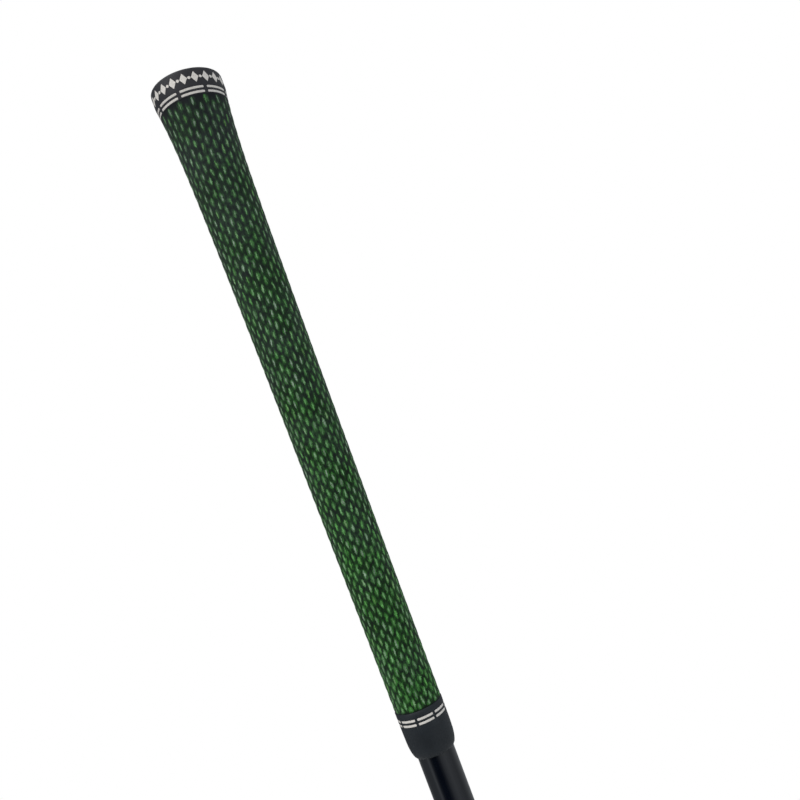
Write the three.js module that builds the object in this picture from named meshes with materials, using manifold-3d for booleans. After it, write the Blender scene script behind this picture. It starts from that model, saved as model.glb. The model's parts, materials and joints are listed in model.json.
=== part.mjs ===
// A golf swing trainer stick: a corded rubber grip on a tapered tubular shaft, with a stack of loose
// weight discs on a threaded stud at the tip, held on by a fluted lock knob with a rubber bumper.
// Millimetres, +Z up. The stick points down: the origin is the centre of the bumper's flat foot, and
// the grip is at the top. The grip's own heights are depths below the butt face.
import * as THREE from "three";
import { mergeVertices } from "three/addons/utils/BufferGeometryUtils.js";
import Module from "manifold-3d";

const wasm = await Module();
wasm.setup();

// ---- Driving dimensions -------------------------------------------------------------------------
const LENGTH = 1143; // butt face to foot, 45 inches
const SIDES = 32; // facets round every turned piece
const CUTTER_SIDES = 16; // facets round holes and flutes
const GAP = 0.05; // between neighbouring pieces
const CUT_GAP = 0.15; // round a pin in its cut hole

// Grip, by depth below the butt face
const GRIP_LENGTH = 271.5;
const GRIP_BODY = 12.1; // radius that the grip's long taper starts from
const GRIP_TAPER = 0.01802; // radius that it loses for each millimetre of depth
const TAPER_EASING = 2.562e-5; // how it flattens towards the mouth, per square millimetre
const FLARE = 3.194; // radius that the flare under the cap adds at the butt face
const FLARE_LENGTH = 16.34; // depth over which the flare falls to 1/e
const CAP_RADIUS = 14.2;
const CAP_EDGE = 1.2; // radius of the cap's rolled edge
const CAP_SHOULDER = 6.1; // depth where the flare leaves the cap's straight side
const CAP_WALL = 4.7; // thickness of the cap's end wall
const CAP_DEPTH = 10.7;
const VENT_RADIUS = 1.5;
const SPIGOT_RADIUS = 10.6; // the core's top end, inside the cap
const CORD_END = 253.5;
const CORD_THICKNESS = 1;
const CORD_STATIONS = 9;
const COLLAR_STEP = 0.17; // how far the plain collar stands proud of the cord
const COLLAR_SHOULDER = 262; // depth where the collar starts to round in
const LIP_DEPTH = 3; // length of the rounding at the mouth
const LIP_START_RADIUS = 8.95;
const LIP_END_RADIUS = 7.95;
const TAPE_THICKNESS = 0.2;
const TAPE_END = 263;

// Shaft
const BUTT_RADIUS = 7.62; // 0.600 inch butt
const MOUTH_RADIUS = 7.2; // where the shaft leaves the grip
const TIP_RADIUS = 4.7; // 0.370 inch parallel tip
const PARALLEL_TIP = 75;
const SHAFT_WALL = 1.1;

// Head, by height above the foot
const BUMPER_RADIUS = 11;
const BUMPER_HEIGHT = 7;
const BUMPER_ROUND = 2.5;
const PEG_RADIUS = 5;
const PEG_HEIGHT = 5;
const KNOB_RADIUS = 14.5;
const KNOB_HEIGHT = 20;
const KNOB_FOOT_CHAMFER = 3;
const KNOB_WEB = 2; // metal between the peg's recess and the threaded bore
const EDGE_CHAMFER = 0.8;
const FLUTES = 12;
const FLUTE_RADIUS = 2.4;
const FLUTE_DEPTH = 1.1;
const RING_RADIUS = 6.5; // nylon lock ring
const RING_HEIGHT = 2.5;
const STUD_RADIUS = 4; // M8 thread, drawn as its outer cylinder
const STUD_CLEARANCE = 0.1;
const STUD_CHAMFER = 0.8;
const STUD_IN_HOSEL = 18;
const STUD_END_ROOM = 0.6; // between the stud's end and the floor of the knob's bore
const WASHER_THICKNESS = 1.5;
const WASHER_RADIUS = 12.5;
const DISC_RADIUS = 15;
const DISC_BORE = 4.3;
const DISC_HEIGHTS = { weight_small: 6, weight_medium: 10, weight_large: 14 };
const FLANGE_RADIUS = 14;
const FLANGE_HEIGHT = 4;
const FILLET_HEIGHT = 2.5;
const FILLET_TOP_RADIUS = 10;
const FILLET_FOOT_RADIUS = 12.5;
const HOSEL_LENGTH = 48;
const HOSEL_NECK = 8;
const HOSEL_STRAIGHT = 8; // parallel length at the top of the hosel
const DRAIN_RADIUS = 1.5;
const SOCKET_DEPTH = 26;
const PIN_RADIUS = 1.5;
const PIN_LENGTH = 18.6;
const PIN_HEIGHT = 11; // above the hosel's flange face
const FERRULE_LENGTH = 22;
const FERRULE_TIP_WALL = 0.5;
const TRIM_HEIGHT = 2.4;

// ---- Derived heights ----------------------------------------------------------------------------
const KNOB_Z = BUMPER_HEIGHT + GAP;
const RECESS_ROOF = PEG_HEIGHT + GAP; // above the knob's foot
const BORE_FLOOR = RECESS_ROOF + KNOB_WEB; // above the knob's foot
const WASHER_Z = KNOB_Z + KNOB_HEIGHT + GAP;
const DISCS_Z = WASHER_Z + WASHER_THICKNESS + GAP;
const DISC_STACK = Object.values(DISC_HEIGHTS).reduce((sum, height) => sum + height + GAP, 0);
const SEAT_Z = DISCS_Z + DISC_STACK;
const HOSEL_Z = SEAT_Z + WASHER_THICKNESS + GAP;
const HOSEL_TOP = HOSEL_Z + HOSEL_LENGTH;
const STUD_Z = KNOB_Z + BORE_FLOOR + STUD_END_ROOM;
const STUD_LENGTH = HOSEL_Z + STUD_IN_HOSEL - STUD_Z;
const SHAFT_Z = HOSEL_TOP - SOCKET_DEPTH;
const SHAFT_LENGTH = LENGTH - CAP_WALL - GAP - SHAFT_Z;
const CORD_START = CAP_DEPTH + GAP;

// ---- Shapes -------------------------------------------------------------------------------------
// The grip's outer radius at a depth below the butt face: an easing taper, flared out to the cap.
function gripRadius(depth) {
  const body = GRIP_BODY - GRIP_TAPER * depth + TAPER_EASING * depth ** 2;
  return Math.min(CAP_RADIUS, body + FLARE * Math.exp(-depth / FLARE_LENGTH));
}

// The shaft's outer radius at a depth below the butt face, inside the grip.
function buttRadius(depth) {
  return THREE.MathUtils.lerp(BUTT_RADIUS, MOUTH_RADIUS, depth / GRIP_LENGTH);
}

// Depths along the cord, closer together where the flare is steep.
const cordDepths = Array.from(
  { length: CORD_STATIONS + 1 },
  (_, i) => CORD_START + (CORD_END - CORD_START) * (i / CORD_STATIONS) ** 2,
);

// A quarter ellipse from one [radius, z] point to another. It leaves the first point along the
// radius if outward is true, along Z if not, so two bulges are possible.
function quarter([r0, z0], [r1, z1], outward, steps = 4) {
  return Array.from({ length: steps + 1 }, (_, i) => {
    const angle = ((Math.PI / 2) * i) / steps;
    const early = Math.sin(angle);
    const late = 1 - Math.cos(angle);
    const [u, v] = outward ? [early, late] : [late, early];
    return [r0 + (r1 - r0) * u, z0 + (z1 - z0) * v];
  });
}

// Solids of revolution about Z, from [radius, z] points that run up the outside. A ring's profile
// closes on itself; a solid's starts and ends on the axis.
function solid(profile) {
  const points = profile.map(([r, z]) => new THREE.Vector2(r, z));
  return new THREE.LatheGeometry(points, SIDES).rotateX(Math.PI / 2);
}
const ring = (profile) => solid([...profile, profile[0]]);

// A flat washer or sleeve, with its outer edges chamfered if asked.
function sleeve(bore, radius, height, chamfer = 0) {
  const foot = chamfer ? [[radius - chamfer, 0], [radius, chamfer]] : [[radius, 0]];
  const top = foot.map(([r, z]) => [r, height - z]).toReversed();
  return ring([[bore, 0], ...foot, ...top, [bore, height]]);
}

// A closed geometry as a solid that can be cut, and back.
function toSolid(geometry) {
  const bare = geometry.index ? geometry.toNonIndexed() : geometry.clone();
  bare.deleteAttribute("normal");
  bare.deleteAttribute("uv");
  const merged = mergeVertices(bare, 1e-4);
  return new wasm.Manifold(
    new wasm.Mesh({
      numProp: 3,
      vertProperties: merged.attributes.position.array,
      triVerts: new Uint32Array(merged.index.array),
    }),
  );
}
function toGeometry(cut) {
  const { vertProperties, triVerts } = cut.getMesh();
  const geometry = new THREE.BufferGeometry();
  geometry.setAttribute("position", new THREE.BufferAttribute(vertProperties, 3));
  geometry.setIndex(new THREE.BufferAttribute(triVerts, 1));
  geometry.computeVertexNormals();
  return geometry;
}

// A round bar along X, centred at a height: the pin, or the drill for its hole.
function crossBar(radius, length, z) {
  const bar = new THREE.CylinderGeometry(radius, radius, length, CUTTER_SIDES);
  return bar.rotateZ(Math.PI / 2).translate(0, 0, z);
}
function crossDrilled(geometry, z) {
  const drill = crossBar(PIN_RADIUS + CUT_GAP, 4 * FLANGE_RADIUS, z);
  return toGeometry(toSolid(geometry).subtract(toSolid(drill)));
}

// ---- Materials ----------------------------------------------------------------------------------
const finish = (color, roughness, metalness) => () =>
  new THREE.MeshStandardMaterial({ color, roughness, metalness });
const blackRubber = finish(0x2b2d30, 0.75, 0);
const greenCord = finish(0x2f4a30, 0.9, 0);
const tapeFilm = finish(0xcfc9b8, 0.8, 0);
const blackLacquer = finish(0x111214, 0.18, 0);
const blackPlastic = finish(0x17181a, 0.35, 0);
const greenPlastic = finish(0x3f8f3c, 0.4, 0);
const whiteNylon = finish(0xe4e2da, 0.5, 0);
const greyAnodised = finish(0x3a3d42, 0.35, 1);
const greenAnodised = finish(0x2f7a34, 0.32, 1);
const steel = finish(0xa7a9ac, 0.3, 1);

function piece(name, geometry, material, z = 0) {
  const mesh = new THREE.Mesh(geometry, material());
  mesh.name = name;
  mesh.position.z = z;
  return mesh;
}

// ---- Grip: its group's origin is the butt face, so a depth d is at z = -d -------------------------
function gripCap() {
  const socket = SPIGOT_RADIUS + GAP;
  return ring([
    [socket, -CAP_DEPTH],
    [gripRadius(CAP_DEPTH), -CAP_DEPTH],
    [CAP_RADIUS, -CAP_SHOULDER],
    ...quarter([CAP_RADIUS, -CAP_EDGE], [CAP_RADIUS - CAP_EDGE, 0], false),
    [VENT_RADIUS, 0],
    [VENT_RADIUS, -CAP_WALL],
    [socket, -CAP_WALL],
  ]);
}

// The rubber sleeve under the cord, with the plain collar below it and a spigot up into the cap.
function gripCore() {
  const top = CAP_WALL + GAP;
  const bore = (depth) => buttRadius(depth) + TAPE_THICKNESS + 2 * GAP;
  const under = (depth) => gripRadius(depth) - CORD_THICKNESS - GAP;
  const collar = CORD_END + GAP;
  const lip = GRIP_LENGTH - LIP_DEPTH;
  return ring([
    [bore(GRIP_LENGTH), -GRIP_LENGTH],
    ...quarter([LIP_END_RADIUS, -GRIP_LENGTH], [LIP_START_RADIUS, -lip], true),
    [gripRadius(COLLAR_SHOULDER) + COLLAR_STEP / 2, -COLLAR_SHOULDER],
    [gripRadius(collar) + COLLAR_STEP, -collar],
    [under(CORD_END), -collar],
    ...cordDepths.toReversed().slice(1).map((depth) => [under(depth), -depth]),
    [SPIGOT_RADIUS, -CORD_START],
    [SPIGOT_RADIUS, -top],
    [bore(top), -top],
  ]);
}

// The corded layer is moulded from two panels that meet along the two sides of the grip. side is
// -1 for the front, which faces -Y, and 1 for the back.
function cordPanel(side) {
  const outer = cordDepths.map((depth) => [gripRadius(depth), -depth]).toReversed();
  const inner = cordDepths.map((depth) => [gripRadius(depth) - CORD_THICKNESS, -depth]);
  const reach = 4 * CAP_RADIUS;
  const half = new THREE.BoxGeometry(reach, reach, 2 * GRIP_LENGTH);
  half.translate(0, side * (reach / 2 + GAP), -GRIP_LENGTH / 2);
  return toGeometry(toSolid(ring([...outer, ...inner])).intersect(toSolid(half)));
}

function gripTape() {
  const top = CAP_WALL + 2 * GAP;
  const inner = (depth) => buttRadius(depth) + GAP;
  const outer = (depth) => inner(depth) + TAPE_THICKNESS;
  return ring([
    [inner(TAPE_END), -TAPE_END],
    [outer(TAPE_END), -TAPE_END],
    [outer(top), -top],
    [inner(top), -top],
  ]);
}

function makeGrip() {
  const grip = new THREE.Group();
  grip.position.z = LENGTH;
  grip.add(
    piece("grip_cap", gripCap(), blackRubber),
    piece("grip_core", gripCore(), blackRubber),
    piece("cord_panel_front", cordPanel(-1), greenCord),
    piece("cord_panel_back", cordPanel(1), greenCord),
    piece("grip_tape", gripTape(), tapeFilm),
  );
  return grip;
}

// ---- Shaft: one tube, from its tip in the hosel to its butt under the cap -------------------------
function shaftTube() {
  const outside = [
    [TIP_RADIUS, 0],
    [TIP_RADIUS, PARALLEL_TIP],
    [MOUTH_RADIUS, LENGTH - GRIP_LENGTH - SHAFT_Z],
    [buttRadius(CAP_WALL + GAP), SHAFT_LENGTH],
  ];
  const inside = outside.map(([r, z]) => [r - SHAFT_WALL, z]).toReversed();
  return ring([...outside, ...inside]);
}

// ---- Head: what stays on the shaft ---------------------------------------------------------------
function ferrule() {
  const bore = TIP_RADIUS + GAP;
  const end = bore + FERRULE_TIP_WALL;
  const cone = quarter([HOSEL_NECK, TRIM_HEIGHT + GAP], [end, FERRULE_LENGTH], false);
  return ring([[bore, TRIM_HEIGHT + GAP], ...cone, [bore, FERRULE_LENGTH]]);
}

// A flange that the discs bear on, and a tapered neck with the shaft's socket. The stud's bore is
// below, and a small drain hole joins the two.
function hosel() {
  const studBore = STUD_RADIUS + STUD_CLEARANCE;
  const socket = TIP_RADIUS + GAP;
  const socketFloor = HOSEL_LENGTH - SOCKET_DEPTH - GAP;
  const filletTop = FLANGE_HEIGHT + FILLET_HEIGHT;
  return ring([
    [studBore, 0],
    [FLANGE_RADIUS - EDGE_CHAMFER, 0],
    [FLANGE_RADIUS, EDGE_CHAMFER],
    [FLANGE_RADIUS, FLANGE_HEIGHT - EDGE_CHAMFER],
    [FLANGE_RADIUS - EDGE_CHAMFER, FLANGE_HEIGHT],
    ...quarter([FILLET_FOOT_RADIUS, FLANGE_HEIGHT], [FILLET_TOP_RADIUS, filletTop], true),
    [HOSEL_NECK, HOSEL_LENGTH - HOSEL_STRAIGHT],
    [HOSEL_NECK, HOSEL_LENGTH],
    [socket, HOSEL_LENGTH],
    [socket, socketFloor],
    [DRAIN_RADIUS, socketFloor],
    [DRAIN_RADIUS, STUD_IN_HOSEL + GAP],
    [studBore, STUD_IN_HOSEL + GAP],
  ]);
}

function stud() {
  return solid([
    [0, 0],
    [STUD_RADIUS - STUD_CHAMFER, 0],
    [STUD_RADIUS, STUD_CHAMFER],
    [STUD_RADIUS, STUD_LENGTH - STUD_CHAMFER],
    [STUD_RADIUS - STUD_CHAMFER, STUD_LENGTH],
    [0, STUD_LENGTH],
  ]);
}

function makeFixedHead() {
  const head = new THREE.Group();
  const pinInStud = HOSEL_Z + PIN_HEIGHT - STUD_Z;
  const washer = sleeve(DISC_BORE, WASHER_RADIUS, WASHER_THICKNESS);
  head.add(
    piece("ferrule", ferrule(), blackPlastic, HOSEL_TOP + GAP),
    piece("ferrule_trim", sleeve(TIP_RADIUS + GAP, HOSEL_NECK, TRIM_HEIGHT), greenPlastic, HOSEL_TOP + GAP),
    piece("hosel", crossDrilled(hosel(), PIN_HEIGHT), greyAnodised, HOSEL_Z),
    piece("stud", crossDrilled(stud(), pinInStud), steel, STUD_Z),
    piece("stud_pin", crossBar(PIN_RADIUS, PIN_LENGTH, 0), steel, HOSEL_Z + PIN_HEIGHT),
    piece("seat_washer", washer, blackRubber, SEAT_Z),
  );
  return head;
}

// ---- Head: the discs that slide on the stud, and the knob that screws up it -----------------------
function lockKnob() {
  const recess = PEG_RADIUS + GAP;
  const bore = STUD_RADIUS + STUD_CLEARANCE;
  const ringSeat = RING_RADIUS + GAP;
  const ringFloor = KNOB_HEIGHT - RING_HEIGHT - GAP;
  const blank = solid([
    [0, RECESS_ROOF],
    [recess, RECESS_ROOF],
    [recess, 0],
    [KNOB_RADIUS - KNOB_FOOT_CHAMFER, 0],
    [KNOB_RADIUS, KNOB_FOOT_CHAMFER],
    [KNOB_RADIUS, KNOB_HEIGHT - EDGE_CHAMFER],
    [KNOB_RADIUS - EDGE_CHAMFER, KNOB_HEIGHT],
    [ringSeat, KNOB_HEIGHT],
    [ringSeat, ringFloor],
    [bore, ringFloor],
    [bore, BORE_FLOOR],
    [0, BORE_FLOOR],
  ]);
  const fluteAxis = KNOB_RADIUS + FLUTE_RADIUS - FLUTE_DEPTH;
  let knob = toSolid(blank);
  for (let i = 0; i < FLUTES; i++) {
    const cutter = new THREE.CylinderGeometry(FLUTE_RADIUS, FLUTE_RADIUS, 4 * KNOB_HEIGHT, CUTTER_SIDES);
    cutter.rotateX(Math.PI / 2).translate(fluteAxis, 0, 0);
    cutter.rotateZ((2 * Math.PI * i) / FLUTES);
    knob = knob.subtract(toSolid(cutter));
  }
  return toGeometry(knob);
}

function tipBumper() {
  const round = quarter([BUMPER_RADIUS - BUMPER_ROUND, 0], [BUMPER_RADIUS, BUMPER_ROUND], true);
  return solid([
    [0, 0],
    ...round,
    [BUMPER_RADIUS, BUMPER_HEIGHT],
    [PEG_RADIUS, BUMPER_HEIGHT],
    [PEG_RADIUS, BUMPER_HEIGHT + PEG_HEIGHT],
    [0, BUMPER_HEIGHT + PEG_HEIGHT],
  ]);
}

function makeDiscs() {
  const discs = new THREE.Group();
  const washer = sleeve(DISC_BORE, WASHER_RADIUS, WASHER_THICKNESS);
  discs.add(piece("clamp_washer", washer, blackRubber, WASHER_Z));
  let z = DISCS_Z;
  for (const [name, height] of Object.entries(DISC_HEIGHTS)) {
    discs.add(piece(name, sleeve(DISC_BORE, DISC_RADIUS, height, EDGE_CHAMFER), steel, z));
    z += height + GAP;
  }
  return discs;
}

function makeKnob() {
  const knob = new THREE.Group();
  const lockRing = sleeve(STUD_RADIUS + STUD_CLEARANCE, RING_RADIUS, RING_HEIGHT);
  knob.add(
    piece("lock_knob", lockKnob(), greenAnodised, KNOB_Z),
    piece("lock_ring", lockRing, whiteNylon, KNOB_Z + KNOB_HEIGHT - RING_HEIGHT),
    piece("tip_bumper", tipBumper(), blackRubber),
  );
  return knob;
}

const stick = new THREE.Group();
stick.add(
  makeGrip(),
  piece("shaft", shaftTube(), blackLacquer, SHAFT_Z),
  makeFixedHead(),
  makeDiscs(),
  makeKnob(),
);

export default stick;
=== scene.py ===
"""The looks of the swing trainer stick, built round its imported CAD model.

Metres, +Z from the tip to the butt, and the stick's axis is the Z axis. Sizes in this file are in
millimetres, and make() turns them into metres. A place on a round surface is given by its height z,
or on the grip by its depth below the butt face, and by its angle phi, from -Y (the front) towards +X.
"""
import json
import math

import bpy
import numpy as np
from mathutils import Matrix, Vector


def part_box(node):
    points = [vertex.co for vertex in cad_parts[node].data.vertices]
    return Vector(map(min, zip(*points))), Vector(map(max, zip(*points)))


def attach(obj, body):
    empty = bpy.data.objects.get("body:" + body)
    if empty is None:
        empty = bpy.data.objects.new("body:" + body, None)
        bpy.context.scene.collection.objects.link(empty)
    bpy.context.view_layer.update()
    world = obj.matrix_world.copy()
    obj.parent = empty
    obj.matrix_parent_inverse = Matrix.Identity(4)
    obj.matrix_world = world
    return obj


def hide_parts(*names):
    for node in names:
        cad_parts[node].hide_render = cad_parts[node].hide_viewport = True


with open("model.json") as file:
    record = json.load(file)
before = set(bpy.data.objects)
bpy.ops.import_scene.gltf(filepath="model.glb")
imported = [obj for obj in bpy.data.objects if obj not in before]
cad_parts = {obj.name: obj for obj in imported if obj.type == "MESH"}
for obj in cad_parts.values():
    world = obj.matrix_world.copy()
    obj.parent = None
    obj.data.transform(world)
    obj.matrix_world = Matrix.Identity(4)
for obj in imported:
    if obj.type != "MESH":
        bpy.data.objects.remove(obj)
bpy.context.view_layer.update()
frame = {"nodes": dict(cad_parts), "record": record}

MM = 0.001
BODIES = {
    node: body for body, nodes in frame["record"]["behaviour"]["bodies"].items() for node in nodes
}


def heights(node):
    """A CAD node's lowest and highest points, in millimetres."""
    low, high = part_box(node)
    return low.z / MM, high.z / MM


def reach(node):
    """A round CAD node's largest radius, in millimetres."""
    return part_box(node)[1].x / MM


TOP = heights("grip_cap")[1]  # height of the butt face

# ---- Grip -----------------------------------------------------------------------------------------
GRIP_BODY = 12.1  # radius that the grip's long taper starts from
GRIP_TAPER = 0.01802  # radius that it loses for each millimetre of depth
TAPER_EASING = 2.562e-5  # how it flattens towards the mouth, per square millimetre
FLARE = 3.194  # radius that the flare under the cap adds at the butt face
FLARE_LENGTH = 16.34  # depth over which the flare falls to 1/e
CAP_RADIUS = reach("grip_cap")
CAP_DEPTH = TOP - heights("grip_cap")[0]
CAP_SHOULDER = 6.1  # depth where the flare leaves the cap's straight side
CAP_EDGE = 1.2  # radius of the cap's rolled edge
SOFT_EDGE = 0.15  # rounding of the moulded rubber's other edges
CAP_WALL = 4.7  # thickness of the cap's end wall
BUTT_GROOVE = (10.5, 0.8, 0.28)  # radius, width and depth of the ring groove in the butt face
VENT_RADIUS = 1.5
VENT_LEAD = 0.5  # size of the rounding round the vent
SPIGOT_RADIUS = 10.6
PIECE_GAP = 0.05
CORD_START = TOP - heights("cord_panel_front")[1]
CORD_END = TOP - heights("cord_panel_front")[0]
CORD_THICKNESS = 1.0
PANEL_SEAM = (0.16, 0.12)  # half width and depth of the joint between the panels
COLLAR_START = CORD_END + PIECE_GAP
COLLAR_STEP = 0.17  # how far the plain collar stands proud of the cord
COLLAR_EASE = (0.08, 8.0)  # how much of the step is lost, and over what length
COLLAR_SHOULDER = 262.0
MOUTH_TAPER = 0.16  # what the collar loses evenly from its shoulder to the mouth
MOUTH_ROUND = 1.15  # what it loses besides, nearly all of it at the mouth
MOUTH_EDGE = (0.45, 0.6)  # width and length of the chamfer at the mouth
MOUTH_DEPTH = TOP - heights("grip_core")[0]
MOUTH_STATIONS = 22  # points of the core's profile along the mouth
UNDER_STATIONS = 30  # and under the cord
CORE_BORE = 7.95
MOUTH_BORE = 7.45

# Ring marks: pairs of painted grooves, broken into segments
RING_WIDTH = 0.85
RING_SEGMENTS = 8
RING_GAP = math.radians(5.5)
GROOVE_EDGE = 0.1  # how much wider a groove is than its paint, each side
GROOVE_WALL = 0.12  # the slope of its walls takes this much
GROOVE_DEPTH = 0.22
PAINT_LEVEL = -0.05  # top of the paint, from the rubber's surface
PAINT_ROOT = 0.35  # how deep the paint reaches
CAP_RINGS = {"depths": (8.1, 9.84), "phase": math.radians(-15.2)}
COLLAR_RINGS = {"depths": (256.4, 258.1), "phase": math.radians(-17.5)}

# The printed band round the cap
BAND_DEPTH = 4.15
BAND_MARKS = 20
LOZENGE_SIZE = (4.2, 2.8)
DOT_SIZE = 1.15
PRINT_RISE = 0.03

# Cord crowns: columns down the grip, each half a pitch from the next
COLUMNS = 32
COLUMN_PHASE = math.radians(2)
PITCH = 5.0
CROWN_LENGTH = (3.4, 3.7)  # at the top and the foot of the grip
CROWN_WIDTH = (0.92, 1.12)  # the same
CROWN_RISE = 0.07
CROWN_WORN = (0.7, 1)  # share of that rise which the buffing has left
CROWN_DIP = 0.9  # how far a crown's edges dip below its base, as a share of its rise
CROWN_SINK = 0.02  # how far its base lies under the cord's surface
CROWN_TIP = 0.2  # share of its width that a crown keeps at its two ends
CROWN_STEPS = (11, 5)
CROWN_RAGGED = 0.24  # how unevenly the rubber laps the sides of a crown
RAGGED_LEAST = 0.4  # the least that a side keeps of its half width
# Standard deviations of a crown's length and width, as shares, of its place, and of its tilt in radians
CROWN_SPREAD = {"length": 0.09, "width": 0.12, "depth": 0.2, "aside": 0.13, "tilt": 0.07}
CROWN_LIFT = 0.4  # how much higher than its place in the lattice the first crown starts
CORD_SELVEDGE = 0.3  # bare rubber left at each end of the cord
RELIEF = 0.09  # depth of the valleys between the crowns
RELIEF_FADE = 0.8  # length over which the valleys die out at each end
MOUND_SIZE = (1.95, 0.85)  # half length and half width of the swelling round a crown
PANEL_GRID = (380, 121)  # rows down a panel and columns round it

# Colours of the cord. Where a value is a pair, it is for the top and the foot, unless a comment says not.
CORD_FRESH = np.array([0.20, 0.70, 0.14])
CORD_YELLOW = np.array([0.10, 0.07, 0.0])  # what the yellower crowns have more
CORD_FADED = np.array([0.56, 0.68, 0.56])
CORD_RIM = np.array([0.035, 0.17, 0.025])  # at the edge of every crown
YELLOW_SPREAD = 0.7
FADE_LEAST = (0.2, 0.0)  # how faded even the freshest crown is
FADE_RANGE = (1.1, 0.75)  # what the fading varies by from crown to crown
CROWN_BRIGHTNESS = (0.45, 0.95)  # least and most, anywhere on the grip
CAP_PAINTED_SHADE = ((0, 0.3), (0.88, 1.0))  # shares of the way down the cord, and the brightness there: a painted shade that darkens the crowns towards the cap
HAZE = (0.62, 0.82)  # strength of the green haze round the crowns
HAZE_GREENING = 0.7  # the power by which it turns greener down the grip, away from the painted grey sheen at the top

# ---- Shaft and head -------------------------------------------------------------------------------
SHAFT_WALL = 1.1
SHAFT_AT_MOUTH = 7.2
SHAFT_TIP = 4.7
PARALLEL_TIP = 75.0
NECK_RADIUS = 8.0
NECK_STRAIGHT = 8.0  # parallel length at the top of the tip adapter
NECK_BLEND = 1.5  # rounding where the neck's taper meets it
NECK_EDGE = 0.25
NECK_STATIONS = 36
FERRULE_TIP = (0.5, 0.1)  # wall and chamfer at the ferrule's thin end
FERRULE_FOOT = (0.15, 0.2)  # width and height of the chamfer at its wide end
FLANGE_HEIGHT = 4.0
FLANGE_CHAMFER = 0.8
FILLET = ((12.5, 0.0), (10.0, 2.5))  # radius, and height above the flange, of the fillet's two ends
SOCKET_DEPTH = 26.05
STUD_HOLE_DEPTH = 18.05
DRAIN_RADIUS = 1.5
STUD_RADIUS = reach("stud")
STUD_BORE = STUD_RADIUS + 0.1
STUD_CHAMFER = 0.8
THREAD_PITCH = 1.25
THREAD_DEPTH = 0.68
THREAD_CREST = 0.125  # flat left at the crest, as a share of the pitch
THREAD_ROOT = 0.25  # flat at the root, the same way
THREAD_ROWS = 14  # for each turn
PIN_RADIUS = 1.5
PIN_CHAMFER = 0.3
PIN_HOLE = 1.65
DISC_BORE = 4.3
DISC_CHAMFER = 0.8
EDGE_BREAK = 0.12  # rounding of the discs' and the knob's sharpest edges
TURNED_EDGE = 0.2  # rounding of other turned edges
BORE_EDGE = 0.3  # rounding at the mouth of a bore
RIM_MARKS = {"weight_small": 1, "weight_medium": 2, "weight_large": 3}
RIM_GROOVE = (1.3, 0.6, 0.4)  # width at the rim, width of the floor, and depth
RIM_PITCH = 2.4
KNOB_RADIUS = 14.5
KNOB_FOOT_CHAMFER = 3.0
KNOB_WEB = 2.0  # metal between the bumper's recess and the threaded bore
FLUTES = 12
FLUTE_RADIUS = 2.4
FLUTE_DEPTH = 1.1
FLUTE_BLEND = 0.45  # rounding where a flute meets the knob's side
FLUTE_RUNOUT = 4.0  # how steeply the cut ends beyond a flute
LOCK_RING = (6.55, 2.55)  # radius and depth of the lock ring's seat
PEG = (5.0, 5.0)  # radius and height of the bumper's peg
PEG_ROUND = 0.5
BUMPER_ROUND = 2.5
BUMPER_SHOULDER = 0.4  # rounding of its upper edge
TREAD = {"radii": (3.0, 5.6), "width": 1.0, "depth": 0.5}
TURNED_SIDES = 160
PIN_SIDES = 48
FINE_SIDES = 720  # for the cap's grooves and the knob's flutes


def grip_radius(depth):
    """The grip's outer radius at a depth, in millimetres: an easing taper, flared out to the cap."""
    body = GRIP_BODY - GRIP_TAPER * depth + TAPER_EASING * depth**2
    return np.minimum(CAP_RADIUS, body + FLARE * np.exp(-depth / FLARE_LENGTH))


# ---- Meshes ---------------------------------------------------------------------------------------
def on_axis(radius, phi, z):
    """Points round the stick's axis."""
    radius, phi, z = np.broadcast_arrays(radius, phi, z)
    return np.stack([radius * np.sin(phi), -radius * np.cos(phi), z], axis=-1)


def make(name, points, faces, material, sharp=40):
    """A smooth-shaded mesh object, with edges sharper than an angle in degrees left sharp."""
    mesh = bpy.data.meshes.new(name)
    mesh.from_pydata((points.reshape(-1, 3) * MM).tolist(), [], faces)
    mesh.polygons.foreach_set("use_smooth", [True] * len(mesh.polygons))
    mesh.set_sharp_from_angle(angle=math.radians(sharp))
    mesh.materials.append(material)
    piece = bpy.data.objects.new(name, mesh)
    bpy.context.scene.collection.objects.link(piece)
    return piece


def grid_faces(rows, columns, start=0, wrap_rows=False, wrap_columns=False):
    """Quads between the points of a grid stored row by row from index start."""
    row, column = np.meshgrid(
        np.arange(rows if wrap_rows else rows - 1),
        np.arange(columns if wrap_columns else columns - 1),
        indexing="ij",
    )
    up, along = (row + 1) % rows, (column + 1) % columns
    places = [(row, column), (row, along), (up, along), (up, column)]
    corners = np.stack([line * columns + place for line, place in places], axis=-1)
    return (corners.reshape(-1, 4) + start).tolist()


def sheet_faces(rows, columns):
    """Quads of a closed sheet: an outer grid, an inner grid stored after it, and the rim between."""
    size = rows * columns
    index = np.arange(size).reshape(rows, columns)
    rim = np.concatenate([index[:-1, 0], index[-1, :-1], index[:0:-1, -1], index[0, :0:-1]])
    faces = [face[::-1] for face in grid_faces(rows, columns)]
    faces += grid_faces(rows, columns, start=size)
    faces += [[int(i), int(j), int(j) + size, int(i) + size] for i, j in zip(np.roll(rim, -1), rim)]
    return faces


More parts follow.
